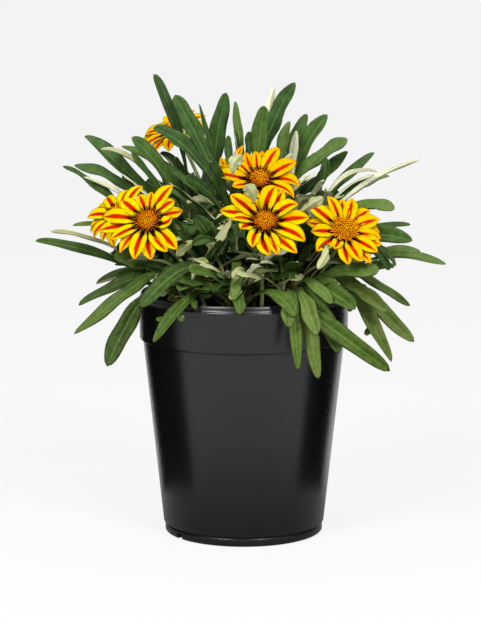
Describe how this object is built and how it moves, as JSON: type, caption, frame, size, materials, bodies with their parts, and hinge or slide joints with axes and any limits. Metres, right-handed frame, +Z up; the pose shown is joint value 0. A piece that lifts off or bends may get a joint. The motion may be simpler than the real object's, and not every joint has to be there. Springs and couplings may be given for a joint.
{
  "type": "potted gazania",
  "caption": "Flowering gazania plant with striped daisy blooms and spoon-shaped leaves in a round tapered black nursery pot.",
  "frame": {"origin": "middle of the pot's flat underside", "axes": "+Z up out of the pot, -Y towards the front blooms, +X to the right seen from the front"},
  "size_m": [0.3251, 0.2388, 0.3661],
  "materials": {
    "pot_plastic": "satin",
    "potting_soil": "matte",
    "leaf": "matte",
    "flower_stalk": "matte",
    "petal": "matte",
    "floret": "matte"
  },
  "bodies": {
    "root": {"pot": "pot_plastic", "soil": "potting_soil", "stalk_front_left": "flower_stalk", "rays_front_left": "petal", "disc_front_left": "floret", "stalk_far_left": "flower_stalk", "rays_far_left": "petal", "disc_far_left": "floret", "stalk_upper": "flower_stalk", "rays_upper": "petal", "disc_upper": "floret", "stalk_centre": "flower_stalk", "rays_centre": "petal", "disc_centre": "floret", "stalk_right": "flower_stalk", "rays_right": "petal", "disc_right": "floret", "stalk_back": "flower_stalk", "rays_back": "petal", "disc_back": "floret", "stalk_half_open": "flower_stalk", "rays_half_open": "petal", "disc_half_open": "floret", "shoot_left_front": "leaf", "shoot_front": "leaf", "shoot_right_front": "leaf", "shoot_right": "leaf", "shoot_left": "leaf", "shoot_middle": "leaf", "shoot_left_high": "leaf", "shoot_right_high": "leaf", "shoot_top": "leaf", "shoot_back_left": "leaf", "shoot_back_right": "leaf", "shoot_far_left": "leaf", "shoot_far_middle": "leaf", "shoot_far_right": "leaf"}
  },
  "joints": []
}
